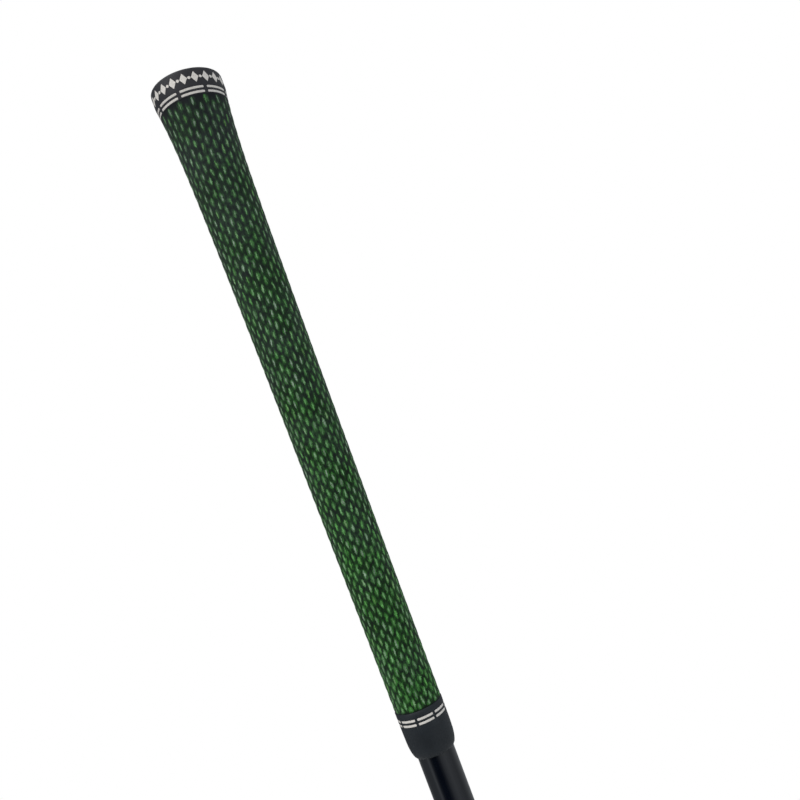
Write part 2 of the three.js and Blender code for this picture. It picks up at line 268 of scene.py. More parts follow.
def lathe(name, profile, material, sides=TURNED_SIDES, relief=None, sharp=40):
    """A solid of revolution from (radius, z) points that run up its outside. The profile closes on
    itself, or starts and ends on the axis. relief gives what to add to the radius at (phi, radius, z)."""
    profile = np.array(profile, float)
    poles = profile[0, 0] == 0 and profile[-1, 0] == 0
    rings = profile[1:-1] if poles else profile
    phi = np.arange(sides)[None, :] * 2 * math.pi / sides
    radius, z = rings[:, :1], rings[:, 1:]
    if relief:
        radius = radius + relief(phi, radius, z)
    points = on_axis(radius, phi, z).reshape(-1, 3)
    faces = grid_faces(len(rings), sides, wrap_rows=not poles, wrap_columns=True)
    if poles:
        low, high = len(points), len(points) + 1
        points = np.vstack([points, [[0, 0, profile[0, 1]], [0, 0, profile[-1, 1]]]])
        last = (len(rings) - 1) * sides
        for j in range(sides):
            k = (j + 1) % sides
            faces.append([low, k, j])
            faces.append([high, last + j, last + k])
    return make(name, points, faces, material, sharp)


def rounded(corners, steps=5):
    """An outline whose corners, (radius, z, cut), are each rounded off from cut before to cut after.
    A support point beyond each rounding keeps the flat faces' shading flat."""
    outline = []
    for i, (r, z, cut) in enumerate(corners):
        here = np.array([r, z], float)
        if not cut:
            outline.append(here)
            continue
        ways = [np.array(corners[k % len(corners)][:2], float) - here for k in (i - 1, i + 1)]
        lengths = [np.linalg.norm(way) for way in ways]
        start, end = (here + way / length * cut for way, length in zip(ways, lengths))
        supports = [here + way / length * min(1.5 * cut, (cut + length / 2) / 2)
                    for way, length in zip(ways, lengths)]
        shares = np.linspace(0, 1, steps)
        arc = [start * (1 - t) ** 2 + here * 2 * t * (1 - t) + end * t**2 for t in shares]
        outline += [supports[0], *arc, supports[1]]
    return outline


def quarter(start, end, outward, steps=10):
    """A quarter ellipse between two (radius, z) points. It leaves the first along the radius if
    outward is true, along Z if not."""
    angle = np.linspace(0, math.pi / 2, steps)
    early, late = np.sin(angle), 1 - np.cos(angle)
    u, v = (early, late) if outward else (late, early)
    radii = start[0] + (end[0] - start[0]) * u
    heights_up = start[1] + (end[1] - start[1]) * v
    return list(zip(radii, heights_up))


def inlays(name, marks, outline, dome, steps, material, surface, sink, ragged=0.0):
    """Small closed solids set into the grip's surface, all in one object.

    marks: rows of depth, phi, half length down the grip, half width round it, rise and tilt.
    outline(p, q): the place of grid point (p, q), each -1 to 1, as fractions of the half sizes.
    dome(p, q): the share of the rise that the point gets. surface(depth): the radius under a mark.
    ragged: how unevenly the two sides of a mark run, as a share of its half width.
    """
    p, q = np.meshgrid(np.linspace(-1, 1, steps[0]), np.linspace(-1, 1, steps[1]), indexing="ij")
    down, across = outline(p, q)
    depth0, phi0, half_length, half_width, rise, tilt = np.array(marks, float).T[:, :, None, None]
    uneven = np.random.default_rng(11).normal(1, ragged, (2, len(marks), steps[0], 1))
    left, right = np.maximum(uneven, RAGGED_LEAST)
    a, b = down * half_length, across * half_width * np.where(q < 0, left, right)
    depth = depth0 + a * np.cos(tilt) - b * np.sin(tilt)
    level = surface(depth)
    phi = phi0 + (a * np.sin(tilt) + b * np.cos(tilt)) / level
    top = on_axis(level + rise * dome(p, q), phi, TOP - depth)
    under = on_axis(level - sink, phi, TOP - depth)
    points = np.concatenate([side.reshape(len(marks), -1, 3) for side in (top, under)], axis=1)
    starts = np.arange(len(marks))[:, None, None] * 2 * steps[0] * steps[1]
    faces = (np.array(sheet_faces(*steps))[None] + starts).reshape(-1, 4)
    return make(name, points, faces.tolist(), material, sharp=50)


def drilled(piece, radius, z):
    """The piece with a hole right through it along X, at a height."""
    half = 2 * reach("hosel")
    profile = [(0, -half), (radius, -half), (radius, half), (0, half)]
    drill = lathe("drill", profile, piece.data.materials[0], sides=PIN_SIDES)
    drill.data.transform(Matrix.Translation((0, 0, z * MM)) @ Matrix.Rotation(math.pi / 2, 4, "Y"))
    cut = piece.modifiers.new("hole", "BOOLEAN")
    cut.operation = "DIFFERENCE"
    cut.solver = "EXACT"
    cut.object = drill
    whole = piece.data
    seen = piece.evaluated_get(bpy.context.evaluated_depsgraph_get())
    piece.data = bpy.data.meshes.new_from_object(seen)
    piece.modifiers.clear()
    bpy.data.meshes.remove(whole)
    bpy.data.objects.remove(drill)
    return piece


def tinted(piece, name, colours):
    """Gives the piece a colour for each of its points, under a name that its material reads."""
    rgba = np.column_stack([colours, np.ones(len(colours))]).astype(np.float32)
    piece.data.color_attributes.new(name, "FLOAT_COLOR", "POINT").data.foreach_set("color", rgba.ravel())
    return piece


def belong(piece, node):
    """The piece moves with a CAD node."""
    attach(piece, BODIES[node])
    return piece


def stand_for(piece, node):
    """The piece is what is seen of a CAD node."""
    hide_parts(node)
    return belong(piece, node)


# ---- Materials ------------------------------------------------------------------------------------
class Nodes:
    """Short ways to add nodes to a node tree."""

    def __init__(self, tree):
        self.tree = tree

    def feed(self, socket, value):
        """Links an output to a socket, or sets the socket to a constant."""
        if isinstance(value, bpy.types.NodeSocket):
            self.tree.links.new(value, socket)
        else:
            socket.default_value = (*value, 1) if isinstance(value, tuple) and len(value) == 3 else value

    def node(self, kind, settings=None, **inputs):
        made = self.tree.nodes.new(kind)
        for key, value in (settings or {}).items():
            setattr(made, key, value)
        for key, value in inputs.items():
            self.feed(made.inputs[key.replace("_", " ")], value)
        return made

    def math(self, operation, a, b=0.0):
        made = self.node("ShaderNodeMath", {"operation": operation})
        self.feed(made.inputs[0], a)
        self.feed(made.inputs[1], b)
        return made.outputs[0]

    def ramp(self, value, stops):
        """A colour or a number that follows value through (position, colour) stops."""
        made = self.node("ShaderNodeValToRGB", Fac=value)
        elements = made.color_ramp.elements
        while len(elements) < len(stops):
            elements.new(0.5)
        for element, (position, colour) in zip(elements, stops):
            element.position = position
            element.color = (*colour, 1) if isinstance(colour, tuple) else (colour, colour, colour, 1)
        return made.outputs["Color"]


class Shader(Nodes):
    """A new material, with its textures placed by the object's own coordinates."""

    def __init__(self, name, **sockets):
        self.material = bpy.data.materials.new(name)
        self.material.use_nodes = True
        super().__init__(self.material.node_tree)
        self.surface = self.tree.nodes["Principled BSDF"]
        for socket, value in sockets.items():
            self.surface.inputs[socket.replace("_", " ")].default_value = value
        self.place = self.node("ShaderNodeTexCoord").outputs["Object"]

    def noise(self, size, detail=2.0, roughness=0.5, at=None):
        """Noise from 0 to 1 whose blobs are about size millimetres across."""
        made = self.node(
            "ShaderNodeTexNoise", Vector=at or self.place, Scale=1 / (size * MM),
            Detail=detail, Roughness=roughness,
        )
        return made.outputs["Fac"]

    def stretched(self, x, y, z):
        """Places scaled along each axis, so that noise there is drawn out."""
        scale = self.node("ShaderNodeMapping", Vector=self.place)
        scale.inputs["Scale"].default_value = (x, y, z)
        return scale.outputs["Vector"]

    def turned(self):
        """Places given by distance from the stick's axis and height, so that noise runs in rings."""
        flat = self.node("ShaderNodeVectorMath", {"operation": "LENGTH"})
        self.feed(flat.inputs[0], self.stretched(1, 1, 0))
        z = self.node("ShaderNodeSeparateXYZ", Vector=self.place).outputs["Z"]
        return self.node("ShaderNodeCombineXYZ", X=flat.outputs["Value"], Z=z).outputs["Vector"]

    def bump(self, height, depth, strength=1.0, under=None):
        """A normal from a height, for dents depth millimetres deep, laid over another normal."""
        made = self.node("ShaderNodeBump", Height=height, Distance=depth * MM, Strength=strength)
        if under:
            self.feed(made.inputs["Normal"], under)
        return made.outputs["Normal"]

    def mix(self, share, a, b):
        """Colour a, giving way to colour b as share goes from 0 to 1."""
        made = self.node("ShaderNodeMix", {"data_type": "RGBA"})
        for socket, value in zip(("Factor_Float", "A_Color", "B_Color"), (share, a, b)):
            self.feed(next(i for i in made.inputs if i.identifier == socket), value)
        return next(o for o in made.outputs if o.identifier == "Result_Color")

    def done(self, **links):
        """Links outputs to the shader's sockets, and gives the finished material."""
        for socket, output in links.items():
            self.feed(self.surface.inputs[socket.replace("_", " ")], output)
        return self.material


def rubber(name, dark, light, roughness=(0.5, 0.68), sheen=0.0):
    """Moulded rubber: a fine grain, faint bloom and patches of slightly different gloss."""
    s = Shader(name, Specular_IOR_Level=0.35, Sheen_Weight=sheen, Sheen_Roughness=0.45)
    bloom = s.noise(9, 4, 0.6)
    grain = s.noise(0.16, 3, 0.6)
    pores = s.noise(0.55, 2)
    return s.done(
        Base_Color=s.ramp(bloom, [(0.35, dark), (0.7, light)]),
        Roughness=s.ramp(pores, [(0.3, roughness[0]), (0.75, roughness[1])]),
        Normal=s.bump(grain, 0.03, 0.5, under=s.bump(pores, 0.05, 0.35)),
    )


def corded_rubber():
    """The rubber between the crowns: black in the valleys, hazed green near each crown, where fibres lie
    just under the skin, and greyer in patches and towards the cap, where the grey is a painted sheen. The
    crown attribute holds how near a crown is, and how far down the grip."""
    s = Shader("corded_rubber", Specular_IOR_Level=0.16, Sheen_Weight=0.05, Sheen_Roughness=0.5)
    hints = s.node("ShaderNodeAttribute", {"attribute_name": "crown"}).outputs["Color"]
    near, foot, _ = s.node("ShaderNodeSeparateColor", Color=hints).outputs
    fibres = s.ramp(s.noise(0.6, 3, 0.75, at=s.stretched(1, 1, 0.4)), [(0.38, 0.1), (0.62, 1.0)])
    patches = s.ramp(s.noise(5, 4, 0.65), [(0.36, 0.35), (0.62, 1.0)])
    haze = s.math("MULTIPLY", s.math("MULTIPLY", near, fibres), s.math("MULTIPLY", patches, 2.4))
    greens = [(0.0, (0.001, 0.004, 0.002)), (0.25, (0.009, 0.045, 0.008)), (0.8, (0.055, 0.22, 0.04))]
    # Greys: the rubber's real grey patches, and a painted sheen that greys it towards the cap.
    grey_patches_and_sheen = [(0.0, (0.010, 0.012, 0.016)), (0.25, (0.029, 0.053, 0.034)), (0.8, (0.072, 0.15, 0.07))]
    clouds = s.ramp(s.noise(13, 3, 0.6), [(0.42, 0.0), (0.6, 0.5)])
    greener = s.math("ADD", s.math("MULTIPLY", foot, 0.7), clouds)
    grain = s.noise(0.2, 3, 0.65)
    return s.done(
        Base_Color=s.mix(greener, s.ramp(haze, grey_patches_and_sheen), s.ramp(haze, greens)),
        Roughness=s.ramp(grain, [(0.3, 0.6), (0.7, 0.85)]),
        Normal=s.bump(grain, 0.06, 0.7),
    )


def cord():
    """Cotton cord crowns: twisted fibres along each crown, dyed green, dirtied by buffed rubber."""
    s = Shader("green_cord", Specular_IOR_Level=0.2, Sheen_Weight=0.1, Sheen_Roughness=0.5)
    tint = s.node("ShaderNodeAttribute", {"attribute_name": "tint"}).outputs["Color"]
    fibre = s.noise(0.24, 3, 0.65, at=s.stretched(1, 1, 0.3))
    dirt = s.noise(0.8, 4, 0.7)
    worn = s.mix(s.ramp(fibre, [(0.34, 0.8), (0.56, 0.0)]), tint, (0.012, 0.06, 0.01))
    return s.done(
        Base_Color=s.mix(s.ramp(dirt, [(0.52, 0.0), (0.72, 0.75)]), worn, (0.008, 0.035, 0.008)),
        Roughness=s.ramp(fibre, [(0.2, 0.95), (0.8, 0.75)]),
        Normal=s.bump(fibre, 0.12, 0.8),
    )


def paint():
    """Ivory filling paint: slightly uneven, with grime in its low spots."""
    s = Shader("ivory_paint", Specular_IOR_Level=0.3)
    grime = s.noise(0.5, 4, 0.65)
    whites = [(0.25, (0.60, 0.55, 0.50)), (0.5, (0.86, 0.81, 0.75)), (0.8, (0.92, 0.87, 0.81))]
    return s.done(
        Base_Color=s.ramp(grime, whites),
        Roughness=s.ramp(s.noise(1.5, 2), [(0.3, 0.4), (0.7, 0.6)]),
        Normal=s.bump(s.noise(0.3, 3), 0.03, 0.5),
    )


def lacquer():
    """Gloss black lacquer over a fibre tube, with a trace of orange peel."""
    s = Shader("shaft_lacquer", Specular_IOR_Level=0.42)
    smear = s.noise(14, 3, 0.5)
    return s.done(
        Base_Color=s.ramp(smear, [(0.3, (0.001, 0.002, 0.005)), (0.7, (0.002, 0.0035, 0.0075))]),
        Roughness=s.ramp(smear, [(0.3, 0.08), (0.7, 0.15)]),
        Normal=s.bump(s.noise(1.8, 2), 0.006, 0.3),
    )


def polished_plastic(name, dark, light):
    """Hard plastic turned and buffed to a gloss, with faint rings left by the buffing."""
    s = Shader(name, Specular_IOR_Level=0.5)
    rings = s.noise(0.3, 3, 0.6, at=s.turned())
    return s.done(
        Base_Color=s.ramp(s.noise(5, 3), [(0.3, dark), (0.7, light)]),
        Roughness=s.ramp(rings, [(0.3, 0.16), (0.7, 0.28)]),
        Normal=s.bump(rings, 0.006, 0.4),
    )


def nylon():
    """Moulded natural nylon: off-white and waxy."""
    s = Shader("nylon", Specular_IOR_Level=0.4, Subsurface_Weight=0.1, Subsurface_Scale=0.001)
    cloud = s.noise(1.4, 3)
    return s.done(
        Base_Color=s.ramp(cloud, [(0.3, (0.66, 0.64, 0.58)), (0.7, (0.78, 0.77, 0.72))]),
        Roughness=s.ramp(cloud, [(0.3, 0.38), (0.7, 0.52)]),
        Normal=s.bump(s.noise(0.25, 3), 0.02, 0.4),
    )


def turned_metal(name, dark, light, roughness, ring_depth):
    """Metal off a lathe: fine tool rings round it, with the finish varying in bands."""
    s = Shader(name, Metallic=1.0)
    rings = s.noise(0.12, 3, 0.7, at=s.turned())
    bands = s.noise(1.6, 3, 0.6, at=s.turned())
    marks = s.noise(2.5, 4, 0.65)
    tone = s.math("ADD", s.math("MULTIPLY", rings, 0.8), s.math("MULTIPLY", marks, 0.2))
    return s.done(
        Base_Color=s.ramp(tone, [(0.35, dark), (0.65, light)]),
        Roughness=s.ramp(bands, [(0.3, roughness[0]), (0.7, roughness[1])]),
        Normal=s.bump(rings, ring_depth, 0.6),
    )


def masking_tape():
    """Double-sided paper tape: crepe wrinkles across its length, stained in patches."""
    s = Shader("paper_tape", Specular_IOR_Level=0.2)
    crepe = s.noise(0.5, 3, 0.6, at=s.stretched(0.3, 0.3, 1))
    stain = s.noise(11, 3, 0.6)
    return s.done(
        Base_Color=s.ramp(stain, [(0.3, (0.46, 0.40, 0.27)), (0.7, (0.62, 0.56, 0.43))]),
        Roughness=s.ramp(crepe, [(0.3, 0.7), (0.7, 0.9)]),
        Normal=s.bump(crepe, 0.08, 0.8),
    )


# ---- Building the grip ----------------------------------------------------------------------------
def groove_relief(rings):
    """The sunk grooves of a pair of ring marks, as a relief for lathe()."""
    step = 2 * math.pi / RING_SEGMENTS

    def relief(phi, radius, z):
        depth = TOP - z
        from_gap = np.abs((phi - rings["phase"] + step / 2) % step - step / 2) - RING_GAP / 2
        along = np.clip(from_gap * radius / GROOVE_WALL, 0, 1)
        from_edge = [RING_WIDTH / 2 + GROOVE_EDGE - np.abs(depth - ring) for ring in rings["depths"]]
        across = sum(np.clip(room / GROOVE_WALL, 0, 1) for room in from_edge)
        outer = radius > grip_radius(depth) - CORD_THICKNESS / 2
        return -GROOVE_DEPTH * along * across * outer

    return relief


def groove_depths(rings):
    """Depths that a profile needs so that the grooves of a ring pair have crisp walls."""
    edge = RING_WIDTH / 2 + GROOVE_EDGE
    walls = [side * room for side in (-1, 1) for room in (edge, edge - GROOVE_WALL)]
    return [ring + wall for ring in rings["depths"] for wall in walls]


def ring_paint(name, rings, surface, material):
    """The paint in the grooves: a long curved bar for each segment."""
    step = 2 * math.pi / RING_SEGMENTS
    marks = []
    for depth in rings["depths"]:
        half = (step - RING_GAP) / 2 * surface(depth) - PIECE_GAP
        for i in range(RING_SEGMENTS):
            marks.append((depth, rings["phase"] + step * (i + 0.5), RING_WIDTH / 2, half, PAINT_LEVEL, 0))
    return inlays(
        name, marks,
        outline=lambda p, q: (p * (1 - 0.25 * q**24), q),
        dome=lambda p, q: 1 + 0.4 * p**4,
        steps=(5, 33), material=material, surface=surface, sink=PAINT_ROOT,
    )


def grip_cap(material):
    """The end cap: rolled edge, a ring groove in the butt face and the vent."""
    socket = SPIGOT_RADIUS + PIECE_GAP
    foot = CAP_DEPTH - SOFT_EDGE
    side = sorted({foot, CAP_SHOULDER, CAP_SHOULDER / 2, *groove_depths(CAP_RINGS)}, reverse=True)
    radius, width, depth = BUTT_GROOVE
    groove = [(radius + width * share, depth * sunk)
              for share, sunk in ((0.5, 0), (0.25, 1), (-0.25, 1), (-0.5, 0))]
    profile = [
        (socket, CAP_DEPTH),
        (grip_radius(CAP_DEPTH) - SOFT_EDGE, CAP_DEPTH),
        *[(grip_radius(depth), depth) for depth in side],
        *quarter((CAP_RADIUS, CAP_EDGE), (CAP_RADIUS - CAP_EDGE, 0), outward=False),
        *groove,
        *quarter((VENT_RADIUS + VENT_LEAD, 0), (VENT_RADIUS, VENT_LEAD), outward=True, steps=5),
        (VENT_RADIUS, CAP_WALL),
        (socket, CAP_WALL),
    ]
    profile = [(r, TOP - depth) for r, depth in profile]
    cap = lathe("end_cap", profile, material, sides=FINE_SIDES, relief=groove_relief(CAP_RINGS), sharp=35)
    stand_for(cap, "grip_cap")


def cap_band(material):
    """The printed band round the cap: plain lozenges and dots in turn."""
    step = 2 * math.pi / BAND_MARKS
    shapes = {
        "band_lozenges": (0, LOZENGE_SIZE, lambda p, q: (p, q * (1.04 - np.abs(p)))),
        "band_dots": (0.5, (DOT_SIZE, DOT_SIZE),
                      lambda p, q: (p * np.sqrt(1 - q**2 / 2), q * np.sqrt(1 - p**2 / 2))),
    }
    for name, (shift, (length, width), outline) in shapes.items():
        printed = inlays(
            name,
            [(BAND_DEPTH, step * (i + shift), length / 2, width / 2, PRINT_RISE, 0)
             for i in range(BAND_MARKS)],
            outline=outline, dome=lambda p, q: np.ones_like(p),
            steps=(9, 9), material=material, surface=grip_radius, sink=PAINT_ROOT / 2,
        )
        belong(printed, "grip_cap")


def collar_radius(depth):
    """The plain collar's outer radius: a little proud of the cord, easing in to the mouth."""
    lost, length = COLLAR_EASE
    full = grip_radius(depth) + COLLAR_STEP - lost * np.clip((depth - COLLAR_START) / length, 0, 1)
    late = np.clip((depth - COLLAR_SHOULDER) / (MOUTH_DEPTH - COLLAR_SHOULDER), 0, 1)
    return full - MOUTH_ROUND * late**4 - MOUTH_TAPER * late


def grip_core(material):
    """The rubber core, of which only the collar and the mouth show."""
    depths = {COLLAR_START + SOFT_EDGE, COLLAR_SHOULDER, *groove_depths(COLLAR_RINGS)}
    depths |= set(np.linspace(COLLAR_SHOULDER, MOUTH_DEPTH - MOUTH_EDGE[1], MOUTH_STATIONS)[1:])
    outer = [(collar_radius(d), d) for d in sorted(depths, reverse=True)]
    cord_under = CORD_THICKNESS + PIECE_GAP
    stations = np.linspace(CORD_END, CORD_START, UNDER_STATIONS)
    under = [(grip_radius(d) - cord_under, d) for d in stations]
    profile = [
        (MOUTH_BORE, MOUTH_DEPTH - SOFT_EDGE),
        (MOUTH_BORE + SOFT_EDGE, MOUTH_DEPTH),
        (outer[0][0] - MOUTH_EDGE[0], MOUTH_DEPTH),
        *outer,
        (collar_radius(COLLAR_START) - SOFT_EDGE, COLLAR_START),
        (under[0][0], COLLAR_START),
        *under[1:],
        (SPIGOT_RADIUS, CORD_START),
        (SPIGOT_RADIUS, CAP_WALL + PIECE_GAP),
        (CORE_BORE, CAP_WALL + PIECE_GAP),
    ]
    profile = [(r, TOP - depth) for r, depth in profile]
    relief = groove_relief(COLLAR_RINGS)
    core = lathe("sleeve", profile, material, sides=FINE_SIDES // 2, relief=relief, sharp=50)
    stand_for(core, "grip_core")


def graded(ends, share):
    """A value that runs evenly from the top of the cord to its foot."""
    return np.interp(share, (0, 1), ends)


def crown_depths(column):
    """The depths of the crowns in a column. Every other column is half a pitch lower."""
    first = CORD_START + PITCH * (0.5 + (column % 2) / 2) - CROWN_LIFT
    return np.arange(first, CORD_END, PITCH)


def nearness(depth, phi):
    """How near a place is to the middle of a crown, 0 to 1."""
    column = (phi - COLUMN_PHASE) * COLUMNS / (2 * math.pi)
    near = 0
    for offset in (0, 1):
        nearest = 2 * np.round((column - offset) / 2) + offset
        across = (column - nearest) * 2 * math.pi / COLUMNS * grip_radius(depth)
        crowns_here = crown_depths(offset)
        place = np.clip(np.round((depth - crowns_here[0]) / PITCH), 0, len(crowns_here) - 1)
        along = depth - crowns_here[place.astype(int)]
        near = np.maximum(near, np.exp(-((along / MOUND_SIZE[0]) ** 2) - (across / MOUND_SIZE[1]) ** 2))
    return near


def cord_panel(side, material):
    """One corded panel as a closed shell. Its outer face swells round every crown of the lattice."""
    rows, around = PANEL_GRID
    middle = 0 if side == "front" else math.pi
    half = math.pi / 2 - PIECE_GAP / CAP_RADIUS
    phi = middle + np.linspace(-half, half, around)
    depth = np.linspace(CORD_START, CORD_END, rows)[:, None]
    radius = grip_radius(depth)
    ends = np.clip(np.minimum(depth - CORD_START, CORD_END - depth) / RELIEF_FADE, 0, 1)
    near = nearness(depth, phi) * ends
    seam = np.clip(1 - (half - np.abs(phi - middle)) * radius / PANEL_SEAM[0], 0, 1)
    outer = on_axis(radius - RELIEF * (1 - near) - PANEL_SEAM[1] * seam, phi, TOP - depth)
    inner = on_axis(radius - CORD_THICKNESS, phi, TOP - depth)
    faces = sheet_faces(rows, around)
    panel = make(f"corded_{side}", np.concatenate([outer, inner]), faces, material, sharp=60)
    foot = (depth - CORD_START) / (CORD_END - CORD_START) + 0 * phi
    # The second hint grows down the grip. Where it is low, near the cap, the shader greys the rubber,
    # which is a painted sheen.
    hints = np.stack([near * graded(HAZE, foot), foot**HAZE_GREENING, 0 * near], axis=-1).reshape(-1, 3)
    tinted(panel, "crown", np.concatenate([hints, hints * 0]))
    stand_for(panel, f"cord_panel_{side}")


def crown_marks():
    """Every cord crown: its place in the lattice, with the small errors of a real weave, and its tint,
    darkened towards the cap by a painted shade.
    """
    chance = np.random.default_rng(7)
    limits = CORD_START + CORD_SELVEDGE, CORD_END - CORD_SELVEDGE
    marks, tints = [], []
    for column in range(COLUMNS):
        phi = COLUMN_PHASE + 2 * math.pi * column / COLUMNS
        for depth in crown_depths(column):
            share = (depth - CORD_START) / (CORD_END - CORD_START)
            length = graded(CROWN_LENGTH, share) * chance.normal(1, CROWN_SPREAD["length"])
            width = graded(CROWN_WIDTH, share) * chance.normal(1, CROWN_SPREAD["width"])
            middle = depth + chance.normal(0, CROWN_SPREAD["depth"])
            start, end = np.clip((middle - length / 2, middle + length / 2), *limits)
            marks.append((
                (start + end) / 2,
                phi + chance.normal(0, CROWN_SPREAD["aside"]) / grip_radius(depth),
                (end - start) / 2,
                width / 2,
                CROWN_RISE * chance.uniform(*CROWN_WORN),
                chance.normal(0, CROWN_SPREAD["tilt"]),
            ))
            dye = CORD_FRESH + CORD_YELLOW * max(0.0, chance.normal(0, YELLOW_SPREAD))
            age = min(1.0, chance.uniform(0, graded(FADE_RANGE, share)) + graded(FADE_LEAST, share))
            faded = dye + (CORD_FADED - dye) * age
            # Crowns nearer the cap are darkened: a painted shade.
            tints.append(faded * chance.uniform(*CROWN_BRIGHTNESS) * np.interp(share, *CAP_PAINTED_SHADE))
    return np.array(marks), np.array(tints)


def crowns(side, marks, tints, material):
    """The crowns on one panel: low rounded grains of cord, each with its own tint, greener at its rim."""
    front = np.cos(marks[:, 1]) > 0
    chosen = front if side == "front" else ~front
    made = inlays(
        f"cord_{side}", marks[chosen],
        outline=lambda p, q: (p, q * np.maximum(CROWN_TIP, (1 - np.abs(p) ** 2.4) ** 0.7)),
        dome=lambda p, q: (1 - q**2) * (1 - p**4) * (1 + CROWN_DIP) - CROWN_DIP,
        steps=CROWN_STEPS, material=material, ragged=CROWN_RAGGED,
        surface=lambda depth: grip_radius(depth) - CROWN_SINK, sink=PAINT_ROOT,
    )
    p, q = np.meshgrid(*(np.linspace(-1, 1, count) for count in CROWN_STEPS), indexing="ij")
    ridge = ((1 - q**2) ** 1.8 * (1 - p**2)).ravel()
    shade = np.concatenate([ridge, 0 * ridge])[None, :, None]
    colours = (CORD_RIM + (tints[chosen][:, None, :] - CORD_RIM) * shade).reshape(-1, 3)
    belong(tinted(made, "tint", colours), f"cord_panel_{side}")


def build_grip():
    white = paint()
    grip_cap(rubber("cap_rubber", (0.015, 0.015, 0.019), (0.027, 0.027, 0.032), sheen=0.03))
    grip_core(rubber("grip_rubber", (0.0055, 0.0085, 0.012), (0.012, 0.017, 0.022)))
    cap_band(white)
    belong(ring_paint("cap_rings", CAP_RINGS, grip_radius, white), "grip_cap")
    belong(ring_paint("collar_rings", COLLAR_RINGS, collar_radius, white), "grip_core")
    base, green = corded_rubber(), cord()
    marks, tints = crown_marks()
    for side in ("front", "back"):
        cord_panel(side, base)
        crowns(side, marks, tints, green)
    frame["nodes"]["grip_tape"].material_slots[0].material = masking_tape()


# ---- Building the shaft and the head --------------------------------------------------------------
def build_shaft():
    low, high = heights("shaft")
    outside = [
        (SHAFT_TIP, low, TURNED_EDGE),
        (SHAFT_TIP, low + PARALLEL_TIP, 0),
        (SHAFT_AT_MOUTH, TOP - MOUTH_DEPTH, 0),
        (reach("shaft"), high, TURNED_EDGE),
    ]
    inside = [(r - SHAFT_WALL, z, 0) for r, z, _ in reversed(outside)]
    stand_for(lathe("tube", rounded(outside + inside), lacquer()), "shaft")


def sleeve(name, node, bore, radius, material, cut=TURNED_EDGE):
    """A flat ring in place of a CAD node, with softened edges."""
    low, high = heights(node)
    corners = [(bore, low, cut), (radius, low, cut), (radius, high, cut), (bore, high, cut)]
    stand_for(lathe(name, rounded(corners), material), node)


def ferrule(material):
    low, high = heights("ferrule")
    bore = SHAFT_TIP + PIECE_GAP
    wall, chamfer = FERRULE_TIP
    width, height = FERRULE_FOOT
    tip = (bore + wall + chamfer, high - chamfer)
    cone = quarter((NECK_RADIUS, low + height), tip, outward=False, steps=24)
    profile = [(bore, low), (NECK_RADIUS - width, low), *cone, (bore + wall, high), (bore, high)]
    stand_for(lathe("cone", profile, material), "ferrule")


def hosel(material):
    """The tip adapter: a flange for the discs, a fillet, and a tapered neck."""
    low, high = heights("hosel")
    flange = reach("hosel")
    socket = SHAFT_TIP + PIECE_GAP
    top = low + FLANGE_HEIGHT
    rim = flange - FLANGE_CHAMFER
    fillet_ends = [(radius, top + rise) for radius, rise in FILLET]
    fillet = quarter(*fillet_ends, outward=True)
    neck = np.linspace(fillet_ends[1], (NECK_RADIUS, high - NECK_STRAIGHT), NECK_STATIONS)[1:-1]
    floor, roof = high - SOCKET_DEPTH, low + STUD_HOLE_DEPTH
    corners = [
        (STUD_BORE, low, BORE_EDGE), (rim, low, TURNED_EDGE), (flange, low + FLANGE_CHAMFER, TURNED_EDGE),
        (flange, top - FLANGE_CHAMFER, TURNED_EDGE), (rim, top, TURNED_EDGE),
        *[(r, z, 0) for r, z in (*fillet, *neck)],
        (NECK_RADIUS, high - NECK_STRAIGHT, NECK_BLEND), (NECK_RADIUS, high, NECK_EDGE),
        (socket, high, TURNED_EDGE), (socket, floor, 0),
        (DRAIN_RADIUS, floor, 0), (DRAIN_RADIUS, roof, 0), (STUD_BORE, roof, 0),
    ]
    return stand_for(lathe("adapter", rounded(corners), material, sharp=30), "hosel")


def stud(material):
    """The threaded rod, with its M8 thread cut as a right-handed helix."""
    low, high = heights("stud")
    count = int((high - low - 2 * STUD_CHAMFER) / THREAD_PITCH * THREAD_ROWS)
    flank = [(STUD_RADIUS, z) for z in np.linspace(low + STUD_CHAMFER, high - STUD_CHAMFER, count)]
    ends = STUD_RADIUS - STUD_CHAMFER

    def thread(phi, radius, z):
        turn = (z / THREAD_PITCH - phi / (2 * math.pi)) % 1
        from_crest = 1 - np.abs(turn - 0.5) * 2
        groove = np.clip((from_crest - THREAD_CREST) / (1 - THREAD_CREST - THREAD_ROOT), 0, 1)
        return -THREAD_DEPTH * groove * (radius > ends + STUD_CHAMFER / 2)

    profile = [(0, low), (ends, low), *flank, (ends, high), (0, high)]
    return stand_for(lathe("threaded_rod", profile, material, sides=64, relief=thread), "stud")


def stud_pin(material):
    """The cross pin, with chamfered ends."""
    box_low, box_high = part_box("stud_pin")
    half, z = box_high.x / MM, (box_low.z + box_high.z) / 2
    end = PIN_RADIUS - PIN_CHAMFER
    profile = [(0, -half), (end, -half), (PIN_RADIUS, PIN_CHAMFER - half),
               (PIN_RADIUS, half - PIN_CHAMFER), (end, half), (0, half)]
    pin = lathe("cross_pin", profile, material, sides=PIN_SIDES, sharp=30)
    pin.data.transform(Matrix.Translation((0, 0, z)) @ Matrix.Rotation(math.pi / 2, 4, "Y"))
    stand_for(pin, "stud_pin")


